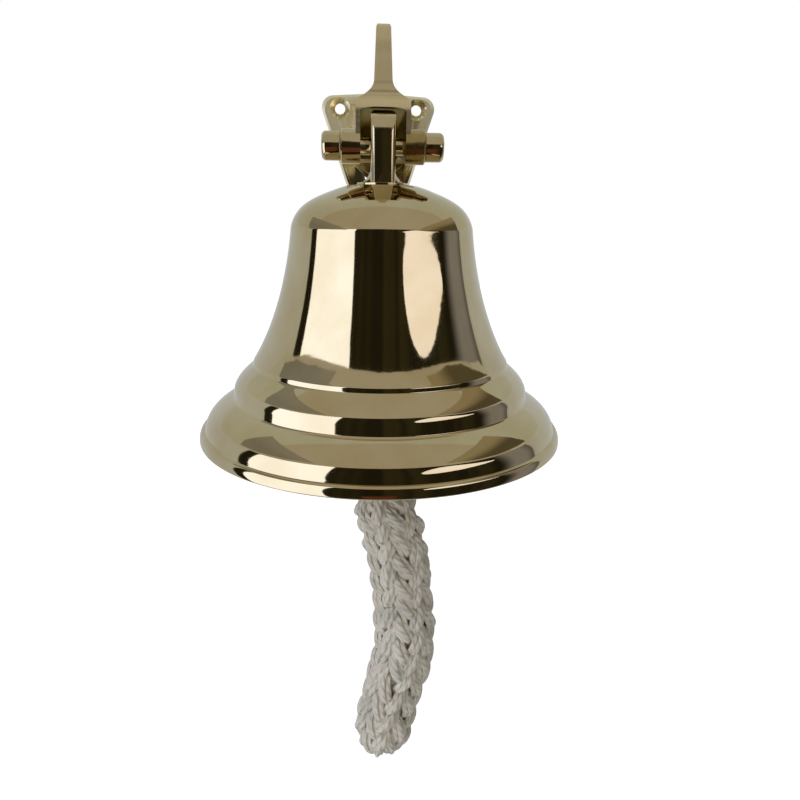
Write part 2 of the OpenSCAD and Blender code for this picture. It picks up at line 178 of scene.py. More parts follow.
horn_top = roof_top + 26.3
horn_root = slot_top + 0.6
horn_tip_r = 2.5
horn_depth = 18
horn_side = [(-3.5, horn_root)]
horn_side += bezier((-3.5, roof_top - 1.6), (-2.1, roof_top + 0.6), (-1.3, roof_top + 11.5),
                    (0.5, horn_top - horn_tip_r), 16)
horn_side += arc(0.5 + horn_tip_r, horn_top - horn_tip_r, horn_tip_r, 180, 0, 12)[1:-1]
horn_side += bezier((5.5, horn_top - horn_tip_r), (3.5, roof_top + 10), (6.5, roof_top + 3),
                    (16, roof_top - 0.6), 16)
horn_side += [(16, horn_root)]
horn = slab("horn", horn_side, "x", -past, past, pivot)
horn_front = [(10.3, horn_root)]
horn_front += bezier((10.3, roof_top - 1.2), (7.6, roof_top + 1.2), (4.2, roof_top + 1.8),
                     (3.5, roof_top + 6), 14)
horn_front += [(2.8, horn_top - 1.4), (2.5, horn_top - 0.5), (1.8, horn_top + 0.2)]
worked(horn, slab("horn_front", mirrored(horn_front), "y", yoke_front, horn_depth, pivot), "INTERSECT")
worked(bracket, horn, "UNION")


def turned(name, outline, middle, axis, steps):
    """A piece turned on a lathe: an outline of (radius, height) in millimetres, spun about axis."""
    out_way = sideways if axis.z else upright
    points = [middle + out_way * r * MM + axis * h * MM for r, h in outline]
    piece = drawn(name, points)
    bpy.ops.mesh.spin(steps=steps, angle=2 * math.pi, center=middle, axis=axis)
    bpy.ops.mesh.select_all(action="SELECT")
    bpy.ops.mesh.remove_doubles(threshold=0.002 * MM)
    bpy.ops.mesh.normals_make_consistent(inside=False)
    bpy.ops.object.mode_set(mode="OBJECT")
    return piece


def drilled(piece, r, low, high, middle, axis):
    """Drills a round hole along axis, from low to high."""
    bore = turned("bore", [(0, low), (r, low), (r, high), (0, high)], middle, axis, 48)
    worked(piece, bore, "DIFFERENCE")


boss_ease = 0.5
boss_half = [(boss_r, boss_end - boss_ease), (boss_r - boss_ease, boss_end), (0, boss_end)]
both_bosses = [(r, -x) for r, x in reversed(boss_half)] + boss_half
worked(bracket, turned("bosses", both_bosses, pivot, sideways, 72), "UNION")
slot = [(slot_half, slot_from)]
slot += bezier((slot_half, slot_top - 1.6), (slot_half - 1, slot_top), (slot_half - 4, slot_top),
               (0, slot_top), 10)
worked(bracket, slab("slot", mirrored(slot), "y", slot_from, slot_end, pivot), "DIFFERENCE")
drilled(bracket, bore_r, -past, past, pivot, sideways)

# Plate: two corner circles and a larger foot circle, joined by straight flanks
corner_x = 22.3
corner_z = 0.3
corner_r = 5.8
foot_z = -29.08
foot_r = 17.5
crest = 0.9
slope = math.degrees(math.atan2(corner_z - foot_z, corner_x)
                     - math.acos((foot_r - corner_r) / math.hypot(corner_x, corner_z - foot_z)))
plate_edge = arc(corner_x, corner_z, corner_r, slope, 90, 16) + [(8, corner_z + corner_r + crest)]
plate_edge = mirrored(plate_edge) + arc(0, foot_z, foot_r, 180 - slope, 360 + slope, 40)
bevel_depth = 1.4
bevel_scale = (0.945, 1, 0.955)
plate = slab("plate", plate_edge, "y", 0, bevel_depth - plate_thick, Vector())
only(plate)
bpy.ops.object.mode_set(mode="EDIT")
bpy.ops.mesh.select_all(action="DESELECT")
bpy.ops.object.mode_set(mode="OBJECT")
for face in plate.data.polygons:
    face.select = face.normal.y < -0.9
bpy.ops.object.mode_set(mode="EDIT")
bpy.ops.mesh.extrude_region_move(TRANSFORM_OT_translate={"value": (0, -bevel_depth * MM, 0)})
bpy.ops.transform.resize(value=bevel_scale)
bpy.ops.object.mode_set(mode="OBJECT")
screw_places = [(-19.1, 0), (19.1, 0), (0, foot_z - 4)]
screw_r = 2.6
sink_r = 5.0
sink = [(0, 1), (screw_r, 1), (screw_r, sink_r - screw_r - plate_thick), (sink_r, -plate_thick),
        (sink_r + 0.2, -plate_thick - 1), (0, -plate_thick - 1)]
for x, z in screw_places:
    hole = turned("hole", sink, Vector((x * MM, 0, z * MM)), to_wall, 48)
    worked(plate, hole, "DIFFERENCE")
worked(bracket, plate, "UNION")


def eased(piece, width, angle, segments=2, shade=35):
    """Rounds the piece's edges sharper than angle and shades the rest smoothly."""
    only(piece)
    bevel = piece.modifiers.new("eased", "BEVEL")
    bevel.width = width * MM
    bevel.segments = segments
    bevel.limit_method = "ANGLE"
    bevel.angle_limit = math.radians(angle)
    bpy.ops.object.modifier_apply(modifier=bevel.name)
    bpy.ops.object.shade_smooth_by_angle(angle=math.radians(shade))


def node(tree, kind, inputs, **settings):
    """One shader node. Its inputs are fed by sockets or set to numbers and colours."""
    made = tree.nodes.new("ShaderNode" + kind)
    for setting, value in settings.items():
        setattr(made, setting, value)
    for name, value in inputs.items():
        if isinstance(value, bpy.types.NodeSocket):
            tree.links.new(value, made.inputs[name])
        elif made.inputs[name].type == "RGBA":
            made.inputs[name].default_value = (*value, 1)
        else:
            made.inputs[name].default_value = value
    return made


def noise(tree, where, scale, detail):
    """Soft noise at the places that where gives."""
    return node(tree, "TexNoise", {"Vector": where, "Scale": scale, "Detail": detail}).outputs["Fac"]


def bumps(tree, height, strength, depth, under=None):
    """The normal of a surface with bumps, depth in millimetres, on top of those under it."""
    made = node(tree, "Bump", {"Height": height, "Strength": strength, "Distance": depth * MM})
    if under:
        tree.links.new(under, made.inputs["Normal"])
    return made.outputs["Normal"]


def graded(tree, value, first, last, *others):
    """The colour that belongs to a value, from stops of a place and a colour."""
    ramp = node(tree, "ValToRGB", {"Fac": value})
    stops = ramp.color_ramp.elements
    for stop, (place, colour) in zip(stops, (first, last)):
        stop.position = place
        stop.color = (*colour, 1)
    for place, colour in others:
        stops.new(place).color = (*colour, 1)
    return ramp.outputs["Color"]


def new_material(name, numbers):
    """A new material whose shader has these numbers, with its node tree and its shader."""
    made = bpy.data.materials.new(name)
    made.use_nodes = True
    shader = made.node_tree.nodes["Principled BSDF"]
    for slot, value in numbers.items():
        shader.inputs[slot].default_value = value
    return made, made.node_tree, shader


def polished_brass(name, colour, roughness, unevenness, tarnish):
    """Polished brass: slow waves left by casting, fine buffing marks and a little tarnish."""
    made, tree, shader = new_material(name, {"Metallic": 1.0})
    on_piece = node(tree, "TexCoord", {}).outputs["Object"]
    darkened = tuple(c * (1 - tarnish * k) for c, k in zip(colour, (0.7, 1, 1.5)))
    tint = graded(tree, noise(tree, on_piece, 55, 5), (0.35, darkened), (0.62, colour))
    tree.links.new(tint, shader.inputs["Base Color"])
    buffing = {"Value": noise(tree, on_piece, 900, 4), "From Min": 0.3, "From Max": 0.75,
               "To Min": roughness * 0.8, "To Max": roughness * 1.25}
    tree.links.new(node(tree, "MapRange", buffing).outputs[0], shader.inputs["Roughness"])
    waves = bumps(tree, noise(tree, on_piece, 130, 2), 1.0, unevenness)
    tree.links.new(waves, shader.inputs["Normal"])
    return made


def faded(tree, value, low, high, start, end):
    """Goes smoothly from start to end while value goes from low to high."""
    span = {"Value": value, "From Min": low, "From Max": high, "To Min": start, "To Max": end}
    return node(tree, "MapRange", span, interpolation_type="SMOOTHSTEP").outputs[0]


def finished(piece, body, cad_node, material):
    """Gives a piece its finish and its body, and hides the CAD node that it stands for."""
    piece.data.materials.append(material)
    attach(piece, body)
    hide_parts(cad_node)


eased(bracket, 0.45, angle=28, segments=3, shade=40)
BELL_METAL = (0.60, 0.51, 0.32)
finished(bracket, "bracket", "wall_bracket",
         polished_brass("cast_brass", (0.80, 0.69, 0.43), 0.36, 0.012, 0.06))
turned_brass = polished_brass("turned_brass", BELL_METAL, 0.10, 0.01, 0.15)
# The plate is brushed, but its foot is smooth, as no hand rubs it. Its brass is paler than the arm's,
# though both are one casting: painted light.
brushed, smooth = 0.52, 0.1
plate_brass_painted_light = polished_brass("brushed_plate_painted_lighter", (0.93, 0.85, 0.60), brushed, 0.008, 0.05)
tree = plate_brass_painted_light.node_tree
split = node(tree, "SeparateXYZ", {0: node(tree, "TexCoord", {}).outputs["Object"]})
smooth_below, brushed_above = -24.5 * MM, -19.5 * MM
foot_gloss = faded(tree, split.outputs["Z"], smooth_below, brushed_above, smooth, brushed)
tree.links.new(foot_gloss, tree.nodes["Principled BSDF"].inputs["Roughness"])
# Inside the slot the rough casting gets a much darker brass than the rest of the casting: painted shade
# in the recess.
slot_painted_shade = polished_brass("slot_casting_painted_shade", (0.42, 0.32, 0.06), 0.45, 0.03, 0.2)
# The right boss gets a darker, duller brass than the left one.
right_boss_brass = polished_brass("darker_right_boss", (0.5, 0.42, 0.22), 0.24, 0.06, 0.5)
# The countersunk screw seats get a smoother polish and a pale brass, which is painted highlight.
seat_painted_highlight = polished_brass("screw_seats_painted_highlight", (0.95, 0.84, 0.52), 0.3, 0.02, 0.1)
for brass in (turned_brass, slot_painted_shade, plate_brass_painted_light, right_boss_brass, seat_painted_highlight):
    bracket.data.materials.append(brass)
CAST, TURNED, SLOT_SHADE, PLATE_PAINTED_LIGHT, RIGHT_BOSS, SEAT_HIGHLIGHT = range(6)
boss_depth = 8
slot_middle = 3


def bracket_finish(face):
    """Which brass a face of the bracket shows, by its place on the casting."""
    at = (face.center - pivot) / MM
    # On the plate the paler brass is painted light.
    if at.y > plate_front - 0.2:
        off_screw = min((face.center.xz / MM - Vector(place)).length for place in screw_places)
        # The screw seats' pale brass is painted highlight.
        return SEAT_HIGHLIGHT if off_screw < sink_r + 0.15 and at.y > plate_front + 0.02 else PLATE_PAINTED_LIGHT
    if abs(at.x) > yoke_half + 0.1 and at.y < boss_depth:
        return TURNED if at.x < 0 else RIGHT_BOSS
    # Faces inside the slot take the darker brass, which is painted shade.
    to_slot = Vector((-at.x, 0, slot_middle - at.z))
    faces_slot = face.normal.dot(to_slot) > 0.3 * to_slot.length or abs(face.normal.y) > 0.9
    in_slot = abs(at.x) < slot_half + 0.05 and at.z < slot_top + 0.05
    inside_yoke = yoke_front + 0.3 < at.y < slot_end + 2
    return SLOT_SHADE if faces_slot and in_slot and inside_yoke else CAST


for face in bracket.data.polygons:
    face.material_index = bracket_finish(face)

# Pivot bolt and nut
# A plain pivot bolt, whose barrel head lies against the left boss, and a barrel nut of the same
# look on the right. Both are turned and polished, with a rounded outer edge.
knob_r = 5.5
knob_end = 23.8
knob_round = 1.8
shank_r = 3.2
shank_end = 21.6
thread_r = shank_r + 0.05
thread_end = shank_end + 0.35
barrel = [(knob_r - 0.3, boss_end), (knob_r, boss_end + 0.3)]
barrel += arc(knob_r - knob_round, knob_end - knob_round, knob_round, 0, 90, 10) + [(0, knob_end)]
shank = [(0, -shank_end), (shank_r - 0.4, -shank_end), (shank_r, 0.4 - shank_end), (shank_r, boss_end)]
bolt = turned("pivot_bolt", shank + barrel, pivot, -sideways, 72)
eased(bolt, 0.1, angle=30)
finished(bolt, "bracket", "pivot_bolt", turned_brass)
nut = turned("pivot_nut", [(thread_r, boss_end)] + barrel + [(0, thread_end), (thread_r, thread_end)],
             pivot, sideways, 72)
eased(nut, 0.1, angle=30)
finished(nut, "bracket", "pivot_nut", turned_brass)

# Bell
# A casting of bell brass, turned inside and out and polished to a mirror outside. It has a lip
# under a turned groove, two steps, a long waist and a domed crown with a hole for the lug's stud.
bell_low, bell_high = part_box("bell_shell")
rim_middle = Vector((0, pivot.y, bell_low.z))
rim = (bell_high.x - bell_low.x) / 2 / MM
crown = (bell_high.z - bell_low.z) / MM
lip = 4.6
groove_r = rim - 2.2
low_step, low_step_z = 61.6, 17
up_step, up_step_z = 53.3, 30.4
shoulder, shoulder_z = 37.0, 83.0
dome_r, flat_r = 22, 10.6
# Lip, groove and the two undercut steps
outside = [(rim - 0.5, 0), (rim, 0.5)]
outside += bezier((rim, 1.2), (rim, 2.8), (rim - 0.6, lip - 0.6), (rim - 1.4, lip - 0.1), 8)
outside += [(groove_r, lip), (groove_r, lip + 0.5)]
outside += bezier((rim - 2.4, lip + 0.9), (rim - 3.8, lip + 7), (low_step + 5.2, low_step_z - 2.2),
                  (low_step + 0.3, low_step_z), 24)
outside += [(low_step - 0.2, low_step_z + 0.6)]
outside += bezier((low_step - 0.4, low_step_z + 3.8), (low_step - 0.9, low_step_z + 7.6),
                  (up_step + 3.4, up_step_z - 2.6), (up_step + 0.3, up_step_z), 20)
outside += [(up_step - 0.1, up_step_z + 0.5)]
# Waist, shoulder and dome
outside += bezier((up_step - 0.4, up_step_z + 2), (up_step - 6.4, up_step_z + 11.4),
                  (shoulder + 2.45, shoulder_z - 23), (shoulder - 0.25, shoulder_z), 40)
waist_end = (shoulder - 0.54, shoulder_z + 2.5)
dome_start = (shoulder - 1.12, shoulder_z + 4.6)
outside += bezier(waist_end, (shoulder - 0.57, shoulder_z + 2.8), (shoulder - 0.62, shoulder_z + 3.1),
                  dome_start, 10)
outside += bezier(dome_start, (shoulder - 3.1, shoulder_z + 10), (shoulder - 7.2, crown - 6.2),
                  (dome_r, crown - 3.2), 22)[1:]
outside += bezier((dome_r, crown - 3.2), (16.6, crown - 1.1), (13.6, crown), (flat_r, crown), 10)[1:]
# Inside: thin in the waist, and thick at the sound bow, where the clapper strikes
stud_hole_r = 4.2
crown_thick = 5
inside_dome = (21.4, crown - 7.8)
inside_shoulder = (shoulder - 3.8, shoulder_z - 3)
bow = (46.5, 35.4)
inside = [(stud_hole_r, crown), (stud_hole_r, crown - crown_thick)]
inside += bezier((11.4, crown - crown_thick), (15.4, crown - 5.2), (18.4, crown - 6.2), inside_dome, 8)
inside += bezier(inside_dome, (27.4, crown - 10.6), (shoulder - 4.6, shoulder_z + 5),
                 inside_shoulder, 16)[1:]
inside += bezier(inside_shoulder, (shoulder, shoulder_z - 22), (43.1, 43.8), bow, 22)[1:]
inside += bezier(bow, (51.9, 22.4), (rim - 11.6, 8), (rim - 3.6, 0.4), 22)[1:]
inside += [(rim - 3.1, 0)]
bell = turned("bell", outside + inside, rim_middle, upright, 160)
eased(bell, 0.16, angle=16)
finished(bell, "bell", "bell_shell",
         polished_brass("bell_mirror_brass", BELL_METAL, 0.045, 0.018, 0.12))

# Crown lug
# A flat upright eye with a half-round top and softened edges, on a flared round foot. Its stud
# goes down through the crown.
lug_foot = -14.3
lug_top = 13.4
lug_half = 4.8
lug_side_half = 9.5
lug_round = 2.4
corner_round = 2.2
stud_r = 4
stud_end = -27.1
foot_half = 10
lug_blank_half = 12
lug_face = [(lug_half, lug_foot)] + arc(lug_half - lug_round, lug_top - lug_round, lug_round, 0, 90, 10)
lug = slab("crown_lug", mirrored(lug_face), "y", -lug_blank_half, lug_blank_half, pivot)
lug_plan = arc(lug_half - corner_round, lug_side_half - corner_round, corner_round, 90, 0, 8)
lug_plan += [(x, -y) for x, y in reversed(lug_plan)]
worked(lug, slab("lug_plan", mirrored(lug_plan), "z", -past, past, pivot), "INTERSECT")
lug_side = [(-lug_side_half, lug_foot), (lug_side_half, lug_foot)]
lug_side += arc(0, lug_top - lug_side_half, lug_side_half, 0, 180, 48)
worked(lug, slab("lug_side", lug_side, "x", -lug_blank_half, lug_blank_half, pivot), "INTERSECT")
eased(lug, 0.3, angle=35)
lug_base = [(0, stud_end), (stud_r - 0.4, stud_end), (stud_r, stud_end + 0.4), (stud_r, lug_foot),
            (foot_half, lug_foot)]
lug_base += bezier((foot_half, -13.6), (7.4, -13.3), (5.9, -12.3), (4.9, -9.3), 14) + [(0, -9.3)]
worked(lug, turned("lug_base", lug_base, pivot, upright, 72), "UNION")
drilled(lug, bore_r, -past, past, pivot, sideways)
eased(lug, 0.25, angle=45, shade=50)
finished(lug, "bell", "crown_lug", turned_brass)

# Washer and eye nut
# Under the crown a plain washer and a hexagon nut hold the stud. The nut ends in a round eye
# that carries the clapper. They are left duller than the bell.
inner_brass = polished_brass("inner_brass", (0.50, 0.40, 0.22), 0.28, 0.03, 0.3)
washer_r = 10
washer_thick = 1.8
washer_z = crown - crown_thick - washer_thick
washer_edge = [(stud_hole_r, 0), (washer_r - 0.3, 0), (washer_r, 0.3), (washer_r, washer_thick - 0.3),
               (washer_r - 0.3, washer_thick), (stud_hole_r, washer_thick)]
washer = turned("crown_washer", [(r, washer_z + h) for r, h in washer_edge], rim_middle, upright, 64)
eased(washer, 0.08, angle=30)
finished(washer, "bell", "crown_washer", inner_brass)


def eye(name, hole_r, eye_r, height):
    """A round eye across x with softened edges, at a height over the rim."""
    half = [(eye_r, 1.1), (eye_r - 0.9, 2), (hole_r + 0.7, 2), (hole_r, 1.3)]
    ring = [(r, -x) for r, x in reversed(half)] + half
    return turned(name, ring, rim_middle + upright * height * MM, sideways, 56)


hexagon_r = 8.66
hexagon_h = 7
eye_z = washer_z - 13
bpy.ops.object.select_all(action="DESELECT")
bpy.ops.mesh.primitive_cylinder_add(vertices=6, radius=hexagon_r * MM, depth=hexagon_h * MM,
                                    location=(0, 0, 0))
eye_nut = bpy.context.object
eye_nut.name = "eye_nut"
bpy.ops.object.mode_set(mode="EDIT")
bpy.ops.transform.rotate(value=math.radians(30), orient_axis="Z", center_override=(0, 0, 0))
bpy.ops.transform.translate(value=rim_middle + upright * (washer_z - hexagon_h / 2) * MM)
bpy.ops.object.mode_set(mode="OBJECT")
eased(eye_nut, 0.5, angle=30, segments=3)
worked(eye_nut, eye("nut_eye", hole_r=3.2, eye_r=7.0, height=eye_z), "UNION")
thread_depth = 6.4
drilled(eye_nut, stud_r + 0.05, washer_z - thread_depth, washer_z + 1, rim_middle, upright)
eased(eye_nut, 0.2, angle=40)
finished(eye_nut, "bell", "eye_nut", inner_brass)

# Clapper
# A forged rod with a ring at its top, which hangs in the eye nut, and a turned ball that is
# drilled through. The tail eye is screwed into the ball from below and carries the lanyard.
clapper_z = (joint_at["clapper_swing"].z - rim_middle.z) / MM
ball_z = clapper_z - 62
ball_r = 13
ball_hole_turn = 76.4
tail_z = ball_z - 21
rod_r = 3
ring_r = 6
ring_thick_r = 1.9
rod_edge = [(0, ball_z), (rod_r, ball_z), (rod_r, clapper_z - 16), (3.4, clapper_z - 13.5),
            (2.6, clapper_z - 12), (0, clapper_z - 12)]
rod = turned("clapper_rod", rod_edge, rim_middle, upright, 40)
bpy.ops.object.select_all(action="DESELECT")
bpy.ops.mesh.primitive_torus_add(major_radius=ring_r * MM, minor_radius=ring_thick_r * MM,
                                 major_segments=64, minor_segments=24, location=(0, 0, 0))
ring = bpy.context.object
bpy.ops.object.mode_set(mode="EDIT")
bpy.ops.mesh.select_all(action="SELECT")
bpy.ops.transform.rotate(value=math.radians(90), orient_axis="X", center_override=(0, 0, 0))
bpy.ops.transform.translate(value=rim_middle + upright * (clapper_z - ring_r) * MM)
bpy.ops.object.mode_set(mode="OBJECT")
worked(rod, ring, "UNION")
eased(rod, 0.3, angle=40)
finished(rod, "clapper", "clapper_rod", inner_brass)
ball_edge = arc(0, ball_z, ball_r, -ball_hole_turn, ball_hole_turn, 48)
ball = turned("clapper_ball", ball_edge, rim_middle, upright, 72)
eased(ball, 0.2, angle=30)
finished(ball, "clapper", "clapper_ball", inner_brass)
tail = eye("tail_eye", hole_r=3.6, eye_r=7.5, height=tail_z)
tail_shank = [(0, tail_z + 6.7), (rod_r, tail_z + 6.7), (rod_r, ball_z - 0.2), (0, ball_z - 0.2)]
worked(tail, turned("tail_shank", tail_shank, rim_middle, upright, 40), "UNION")
eased(tail, 0.2, angle=40)
finished(tail, "clapper", "tail_eye", inner_brass)

# Becket
# A short bight of three-strand cotton line through the clapper's tail eye. Both of its ends
# go down into the lanyard's neck, under the whipping.
becket_low, becket_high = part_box("rope_becket")
line_r = 2.5 * MM
bight_r = (becket_high.x - becket_low.x) / 2 - line_r
bight_z = becket_high.z - line_r - bight_r
leg_step = 0.9 * MM
leg_points = 8
strand_r = 1.28 * MM
lay_r = 1.18 * MM
lay_length = 8.5 * MM


def smooth_line(points, values, step):
    """Points every step along a smooth line through points, each with its distance and its value."""
    line, gone = [], 0.0
    last = len(points) - 1
    for i in range(last):
        a, b = points[max(i - 1, 0)], points[i]
        c, d = points[i + 1], points[min(i + 2, last)]
        parts = max(2, round((c - b).length / step))
        for k in range(parts + (i == last - 1)):
            t = k / parts
            at = 0.5 * (2 * b + (c - a) * t + (2 * a - 5 * b + 4 * c - d) * t**2
                        + (3 * b - a - 3 * c + d) * t**3)
            if line:
                gone += (at - line[-1][0]).length
            line.append((at, gone, values[i] + (values[i + 1] - values[i]) * t))
    return line


class Yarns:
    """Collects yarns, each a tube swept along a line, and makes one mesh of them."""

    def __init__(self):
        self.points, self.faces, self.places = [], [], []

    def add(self, line, radii, sides, twist_from=0.0):
        """A tube along line, with its ends closed. Its UV is the turn round it and the way along."""
        first = len(self.points)
        gone = twist_from
        for i, at in enumerate(line):
            before, after = line[max(i - 1, 0)], line[min(i + 1, len(line) - 1)]
            along = (after - before).normalized()
            if i == 0:
                side = along.orthogonal().normalized()
            else:
                gone += (at - line[i - 1]).length
            side = (side - along * side.dot(along)).normalized()
            up = along.cross(side)
            for k in range(sides):
                turn = 2 * math.pi * k / sides
                self.points.append(at + radii[i] * (math.cos(turn) * side + math.sin(turn) * up))
                self.places.append((k / sides, gone / (10 * MM)))
        for i in range(len(line) - 1):
            for k in range(sides):
                j = (k + 1) % sides
                row = first + i * sides
                self.faces.append((row + k, row + j, row + sides + j, row + sides + k))
        self.faces.append(tuple(first + k for k in reversed(range(sides))))
        self.faces.append(tuple(first + (len(line) - 1) * sides + k for k in range(sides)))

    def mesh(self, name):
        """All yarns as one piece. Where a tube's turn closes, its UV goes on to 1."""
        data = bpy.data.meshes.new(name)
        data.from_pydata(self.points, [], self.faces)
        way = data.uv_layers.new(name="yarn")
        for face in data.polygons:
            closes = any(self.places[v][0] > 0.5 for v in face.vertices)
            for loop in face.loop_indices:
                u, v = self.places[data.loops[loop].vertex_index]
                way.data[loop].uv = (1.0 if u == 0 and closes else u, v)
        piece = bpy.data.objects.new(name, data)
        bpy.context.scene.collection.objects.link(piece)
        only(piece)
        bpy.ops.object.shade_smooth_by_angle(angle=math.radians(60))
        return piece


def maths(tree, operation, *values):
    """One step of arithmetic on sockets and numbers."""
    return node(tree, "Math", dict(enumerate(values)), operation=operation).outputs[0]


def cotton(name, colour):
    """Natural cotton: three-ply yarns with a visible twist, fibres along them, and soft grime."""
    made, tree, shader = new_material(name, {
        "Roughness": 0.92, "Sheen Weight": 0.4, "Sheen Roughness": 0.5,
        "Subsurface Weight": 0.2, "Subsurface Radius": (0.002, 0.0015, 0.001)})
    plies, turns_per_cm, fibres_round = 3, 2.6, 9
    where = node(tree, "TexCoord", {})
    split = node(tree, "SeparateXYZ", {0: where.outputs["UV"]})
    lead = maths(tree, "MULTIPLY", split.outputs["Y"], 2 * math.pi * turns_per_cm)
    turn = maths(tree, "MULTIPLY_ADD", split.outputs["X"], plies * 2 * math.pi, lead)
    twist = maths(tree, "SINE", turn)
    stretch = node(tree, "Mapping", {"Scale": (fibres_round, fibres_round * 0.12, 1),
                                     "Vector": where.outputs["UV"]})
    fibres = noise(tree, stretch.outputs[0], 1.0, 6)
    grimy = (colour[0] * 0.74, colour[1] * 0.76, colour[2] * 0.72)
    rosy = (colour[0] * 0.98, colour[1] * 0.92, colour[2] * 0.88)
    tint = graded(tree, noise(tree, where.outputs["Object"], 90, 4), (0.32, grimy), (0.68, colour),
                  (0.5, rosy))
    shade = node(tree, "Mix", {"Factor": 0.5, "A": tint, "B": fibres}, data_type="RGBA",
                 blend_type="MULTIPLY")
    lifted = node(tree, "BrightContrast", {"Bright": 0.1, "Color": shade.outputs["Result"]})
    tree.links.new(lifted.outputs["Color"], shader.inputs["Base Color"])
    laid = bumps(tree, twist, 0.7, 0.35)
    tree.links.new(bumps(tree, fibres, 0.6, 0.25, laid), shader.inputs["Normal"])
    return made


right_leg = [Vector((bight_r, pivot.y, bight_z - (i + 1) * leg_step)) for i in range(leg_points)]
left_leg = [Vector((-at.x, at.y, at.z)) for at in reversed(right_leg)]
top = [Vector((x, pivot.y, z)) for x, z in arc(0, bight_z, bight_r, 180, 0, 40)]
bight_points = left_leg + top + right_leg
bight_line = smooth_line(bight_points, [1] * len(bight_points), 0.5 * MM)
bight = Yarns()
for strand in range(3):
    strand_line = []
    for i, (at, gone, _) in enumerate(bight_line):
        ahead = bight_line[min(i + 1, len(bight_line) - 1)][0]
        behind = bight_line[max(i - 1, 0)][0]
        along = (ahead - behind).normalized()
        turn = 2 * math.pi * (strand / 3 + gone / lay_length)
        strand_line.append(at + lay_r * (math.cos(turn) * to_wall
                                         + math.sin(turn) * along.cross(to_wall)))
    bight.add(strand_line, [strand_r] * len(strand_line), 10)
becket = bight.mesh("becket")
finished(becket, "lanyard", "rope_becket", cotton("laid_cotton", (0.84, 0.77, 0.64)))

# Lanyard
# A thick bell rope of soft natural cotton, plaited round by hand: plump bundles of three yarns lie
# in columns that lean to the left and to the right by turns. Its slim neck is whipped with twine.
rope_r = 13.5 * MM
# x, depth under the rope's top, and share of the full thickness, at points that the rope follows
ROUTE = [(0, 0, 0.56), (0, 7, 0.56), (0.2, 14, 0.56), (0.9, 19.5, 0.57), (1.4, 22, 0.72),
         (1.8, 24, 0.88), (2.4, 26.5, 1), (4, 33, 1), (6, 40, 1), (8.5, 53, 1), (10.5, 66, 1),
         (12, 78, 1), (12.5, 89, 1), (12, 100, 1), (10.2, 111, 1), (7.8, 122, 1), (5.2, 133, 1),
         (2.8, 144, 1), (1.9, 149, 0.93), (1.5, 153, 0.8), (1.5, 156.5, 0.63), (1.6, 159, 0.42),
         (1.7, 160.5, 0.18)]
rope_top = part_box("rope_lanyard")[1].z
route = [Vector((x * MM, pivot.y, rope_top - depth * MM)) for x, depth, _ in ROUTE]
rope_line = smooth_line(route, [swell for _, _, swell in ROUTE], 1.0 * MM)
rope_length = rope_line[-1][1]


def on_rope(s):
    """Middle, direction, sideways direction and swell of the rope at a distance s down it."""
    s = min(max(s, 0.0), rope_length)
    i = min(int(s / rope_length * (len(rope_line) - 1)), len(rope_line) - 2)
    while i > 0 and rope_line[i][1] > s:
        i -= 1
    while i < len(rope_line) - 2 and rope_line[i + 1][1] < s:
        i += 1
    (a, gone_a, swell_a), (b, gone_b, swell_b) = rope_line[i], rope_line[i + 1]
    t = (s - gone_a) / (gone_b - gone_a)
    along = (rope_line[min(i + 2, len(rope_line) - 1)][0] - rope_line[max(i - 1, 0)][0]).normalized()
    return a.lerp(b, t), along, along.cross(to_wall), swell_a + (swell_b - swell_a) * t


def round_rope(at, side, turn, out):
    """A place at a distance out from the rope's middle. A turn of 0 is the side of the wall."""
    return at + out * (math.cos(turn) * to_wall + math.sin(turn) * side)


draw = random.Random(7)
COLUMNS = 10
YARNS = 3
STITCH_POINTS = 13
row_rise = 11.2 * MM
stitch_len = 17.8 * MM
yarn_r = 1.5 * MM
yarn_apart = 2.05
# How deep a stitch goes into the rope at its two ends, and how much its outer yarns lie lower
root_dive, tip_dive = 6.6, 5.4
roundness = 0.40
body_from = 17.5 * MM
body_to = rope_length - 4.5 * MM
winding = 1.5
rope = Yarns()
# Core, which closes the rope behind the stitches
CORE_PARTS = 83
core_line, core_r = [], []
for i in range(CORE_PARTS + 1):
    at, along, side, swell = on_rope((body_to - 3 * MM) * i / CORE_PARTS)
    core_line.append(at)
    core_r.append(max(rope_r * swell - 5 * MM, 1.2 * MM))
rope.add(core_line, core_r, 20)
for column in range(COLUMNS):
    leaning = 1 if column % 2 else -1
    half_row = 0.5 if column % 2 else 0
    for row in range(-1, round(rope_length / row_rise) + 1):
        mid = body_from + (row + half_row) * row_rise + draw.uniform(-1.6, 1.6) * MM
        turn = 2 * math.pi * column / COLUMNS + winding * mid / rope_length + draw.uniform(-0.09, 0.09)
        bulge = draw.uniform(-0.8, 0.3) * MM
        length = stitch_len * draw.uniform(0.88, 1.12)
        tilt = leaning * draw.uniform(0.22, 0.42)
        plump = draw.uniform(0.94, 1.12)
        if mid < body_from or mid > body_to + 3 * MM:
            continue
        for yarn in range(YARNS):
            across = (yarn - (YARNS - 1) / 2) * yarn_apart
            line, radii = [], []
            for k in range(STITCH_POINTS):
                t = -1 + 2 * k / (STITCH_POINTS - 1)
                s = mid + t * length / 2
                over = max(s - body_to, 0)
                at, along, side, swell = on_rope(min(s, body_to))
                full = 0.4 + 0.6 * swell
                dive = root_dive * abs(t)**2.2 if t < 0 else tip_dive * abs(t)**2.6
                out = (rope_r + 0.1 * MM) * swell + (bulge - dive * MM) * full
                out -= roundness * MM * across * across * (1 - 0.4 * abs(t))
                out = max(out - over * 1.6, 0.5 * MM)
                spread = across * plump * MM * (1 - 0.5 * t * t) * full
                lean = turn + tilt * t + spread / max(out, 4 * MM)
                line.append(round_rope(at, side, lean, out) + along * min(over, 2 * MM))
                radii.append(yarn_r * plump * (0.6 + 0.4 * swell) * (1 - 0.25 * t**4))
            rope.add(line, radii, 6, draw.uniform(0, 10) * MM)
